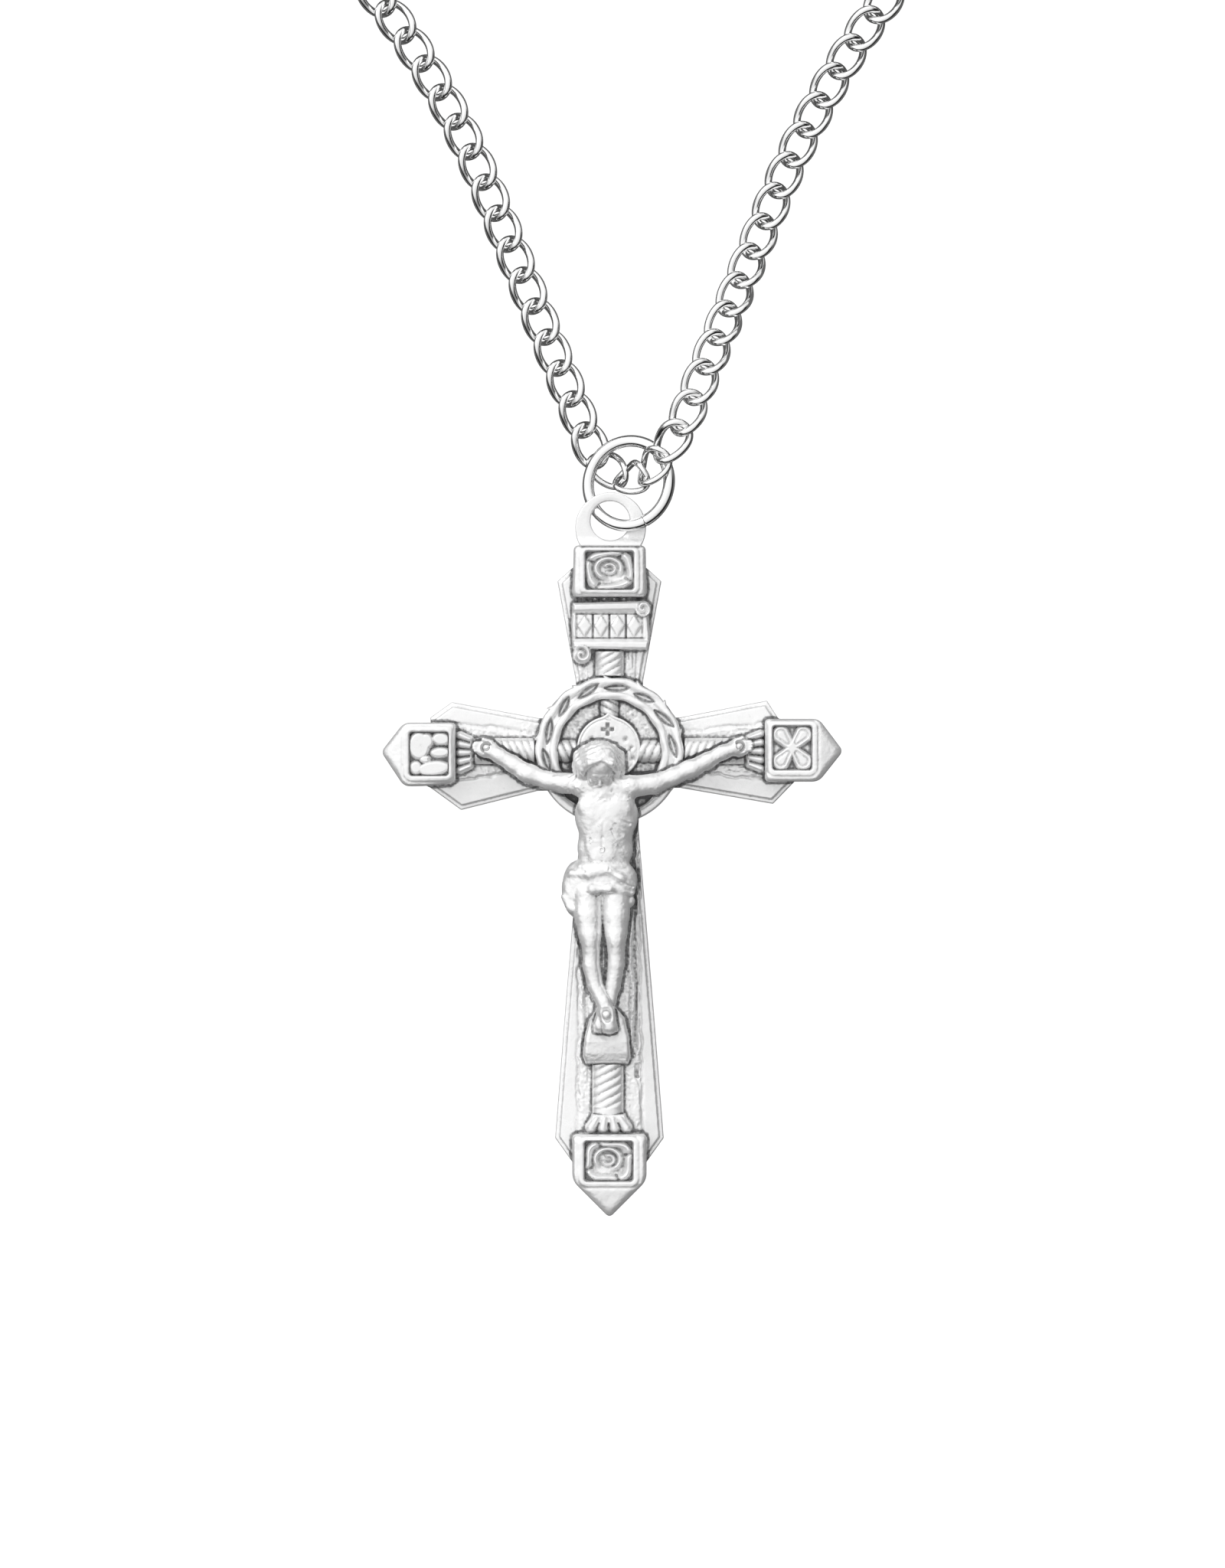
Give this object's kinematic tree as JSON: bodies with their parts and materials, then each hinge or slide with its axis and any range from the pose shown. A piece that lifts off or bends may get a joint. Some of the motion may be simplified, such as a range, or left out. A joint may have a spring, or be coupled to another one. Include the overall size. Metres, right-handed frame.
{
  "type": "crucifix pendant on a neck chain",
  "caption": "Silver crucifix pendant with a jump ring on a curb neck chain, lying on its back.",
  "frame": {"origin": "middle of the back face behind the crossing of the cross", "axes": "+Z out of the face, +Y up the post to the eye and along the chain, +X to the viewer's right"},
  "size_m": [0.051, 0.1196, 0.0057],
  "materials": {
    "satin_silver": "satin",
    "dark_recess": "satin",
    "bright_silver": "polished"
  },
  "bodies": {
    "middle_link": {"link_mid": "bright_silver"},
    "ring": {"jump_ring": "bright_silver"},
    "crucifix": {"cross_plate": "satin_silver", "halo_disc": "dark_recess", "thorn_band": "satin_silver", "nimbus_medallion": "satin_silver", "rod_left": "satin_silver", "rod_right": "satin_silver", "rod_top": "satin_silver", "rod_bottom": "satin_silver", "claw_left": "satin_silver", "claw_right": "satin_silver", "claw_top": "satin_silver", "claw_bottom": "satin_silver", "end_cap_left": "satin_silver", "end_cap_right": "satin_silver", "end_cap_top": "satin_silver", "end_cap_bottom": "satin_silver", "relief_left": "satin_silver", "relief_right": "satin_silver", "relief_top": "satin_silver", "relief_bottom": "satin_silver", "title_scroll": "satin_silver", "foot_rest": "satin_silver", "corpus": "satin_silver", "nail_left": "satin_silver", "nail_right": "satin_silver", "nail_feet": "satin_silver", "bail_eye": "satin_silver"},
    "left_9_link": {"link_left_9": "bright_silver", "chain_run_left": "bright_silver", "chain_coil_left": "bright_silver", "clasp_ring": "bright_silver", "clasp_body": "bright_silver"},
    "left_8_link": {"link_left_8": "bright_silver"},
    "left_7_link": {"link_left_7": "bright_silver"},
    "left_6_link": {"link_left_6": "bright_silver"},
    "left_5_link": {"link_left_5": "bright_silver"},
    "left_4_link": {"link_left_4": "bright_silver"},
    "left_3_link": {"link_left_3": "bright_silver"},
    "left_2_link": {"link_left_2": "bright_silver"},
    "left_1_link": {"link_left_1": "bright_silver"},
    "inner_left_link": {"link_mid_left": "bright_silver"},
    "inner_right_link": {"link_mid_right": "bright_silver"},
    "right_1_link": {"link_right_1": "bright_silver"},
    "right_2_link": {"link_right_2": "bright_silver"},
    "right_3_link": {"link_right_3": "bright_silver"},
    "right_4_link": {"link_right_4": "bright_silver"},
    "right_5_link": {"link_right_5": "bright_silver"},
    "right_6_link": {"link_right_6": "bright_silver"},
    "right_7_link": {"link_right_7": "bright_silver"},
    "right_8_link": {"link_right_8": "bright_silver"},
    "right_9_link": {"link_right_9": "bright_silver", "chain_run_right": "bright_silver", "chain_coil_right": "bright_silver", "end_ring": "bright_silver"},
    "lever": {"clasp_lever": "bright_silver"}
  },
  "joints": [
    {"name": "ring_lift", "type": "hinge", "parent": "middle_link", "child": "ring", "pos_m": [0.0012, 0.0186, 0.0024], "axis": [-0.866, 0.5, 0], "range_deg": [0, 35]},
    {"name": "cross_swing", "type": "hinge", "parent": "ring", "child": "crucifix", "pos_m": [0.00005, 0.015, 0.00262], "axis": [0, 0, 1], "range_deg": [-15, 15]},
    {"name": "bend_left_9", "type": "hinge", "parent": "left_8_link", "child": "left_9_link", "pos_m": [-0.00736, 0.0352, 0.00065], "axis": [0, 0, 1], "range_deg": [-6, 6]},
    {"name": "bend_left_8", "type": "hinge", "parent": "left_7_link", "child": "left_8_link", "pos_m": [-0.00655, 0.03318, 0.00065], "axis": [0, 0, 1], "range_deg": [-6, 6]},
    {"name": "bend_left_7", "type": "hinge", "parent": "left_6_link", "child": "left_7_link", "pos_m": [-0.00573, 0.03115, 0.00065], "axis": [0, 0, 1], "range_deg": [-6, 6]},
    {"name": "bend_left_6", "type": "hinge", "parent": "left_5_link", "child": "left_6_link", "pos_m": [-0.00492, 0.02912, 0.00065], "axis": [0, 0, 1], "range_deg": [-6, 6]},
    {"name": "bend_left_5", "type": "hinge", "parent": "left_4_link", "child": "left_5_link", "pos_m": [-0.0041, 0.0271, 0.00065], "axis": [0, 0, 1], "range_deg": [-6, 6]},
    {"name": "bend_left_4", "type": "hinge", "parent": "left_3_link", "child": "left_4_link", "pos_m": [-0.00329, 0.02507, 0.00065], "axis": [0, 0, 1], "range_deg": [-6, 6]},
    {"name": "bend_left_3", "type": "hinge", "parent": "left_2_link", "child": "left_3_link", "pos_m": [-0.00247, 0.02304, 0.00065], "axis": [0, 0, 1], "range_deg": [-6, 6]},
    {"name": "bend_left_2", "type": "hinge", "parent": "left_1_link", "child": "left_2_link", "pos_m": [-0.00166, 0.02101, 0.00065], "axis": [0, 0, 1], "range_deg": [-6, 6]},
    {"name": "bend_left_1", "type": "hinge", "parent": "inner_left_link", "child": "left_1_link", "pos_m": [-0.00065, 0.01921, 0.00083], "axis": [0, 0, 1], "range_deg": [-6, 6]},
    {"name": "bend_inner_left", "type": "hinge", "parent": "middle_link", "child": "inner_left_link", "pos_m": [0.00071, 0.01814, 0.0016], "axis": [0, 0, 1], "range_deg": [-4, 4]},
    {"name": "bend_inner_right", "type": "hinge", "parent": "middle_link", "child": "inner_right_link", "pos_m": [0.00213, 0.0182, 0.00291], "axis": [0, 0, 1], "range_deg": [-4, 4]},
    {"name": "bend_right_1", "type": "hinge", "parent": "inner_right_link", "child": "right_1_link", "pos_m": [0.0034, 0.0193, 0.00404], "axis": [0, 0, 1], "range_deg": [-6, 6]},
    {"name": "bend_right_2", "type": "hinge", "parent": "right_1_link", "child": "right_2_link", "pos_m": [0.00453, 0.02099, 0.00449], "axis": [0, 0, 1], "range_deg": [-6, 6]},
    {"name": "bend_right_3", "type": "hinge", "parent": "right_2_link", "child": "right_3_link", "pos_m": [0.00547, 0.02292, 0.00436], "axis": [0, 0, 1], "range_deg": [-6, 6]},
    {"name": "bend_right_4", "type": "hinge", "parent": "right_3_link", "child": "right_4_link", "pos_m": [0.00625, 0.02493, 0.00393], "axis": [0, 0, 1], "range_deg": [-6, 6]},
    {"name": "bend_right_5", "type": "hinge", "parent": "right_4_link", "child": "right_5_link", "pos_m": [0.00702, 0.02692, 0.00332], "axis": [0, 0, 1], "range_deg": [-6, 6]},
    {"name": "bend_right_6", "type": "hinge", "parent": "right_5_link", "child": "right_6_link", "pos_m": [0.00778, 0.02884, 0.00261], "axis": [0, 0, 1], "range_deg": [-6, 6]},
    {"name": "bend_right_7", "type": "hinge", "parent": "right_6_link", "child": "right_7_link", "pos_m": [0.00856, 0.03075, 0.00189], "axis": [0, 0, 1], "range_deg": [-6, 6]},
    {"name": "bend_right_8", "type": "hinge", "parent": "right_7_link", "child": "right_8_link", "pos_m": [0.00935, 0.03269, 0.0013], "axis": [0, 0, 1], "range_deg": [-6, 6]},
    {"name": "bend_right_9", "type": "hinge", "parent": "right_8_link", "child": "right_9_link", "pos_m": [0.01016, 0.03465, 0.00091], "axis": [0, 0, 1], "range_deg": [-6, 6]},
    {"name": "clasp_trigger", "type": "hinge", "parent": "left_9_link", "child": "lever", "pos_m": [-0.0111, 0.07855, 0.0007], "axis": [0, 0, 1], "range_deg": [0, 20], "stiffness_Nm_per_rad": 0.00002}
  ]
}
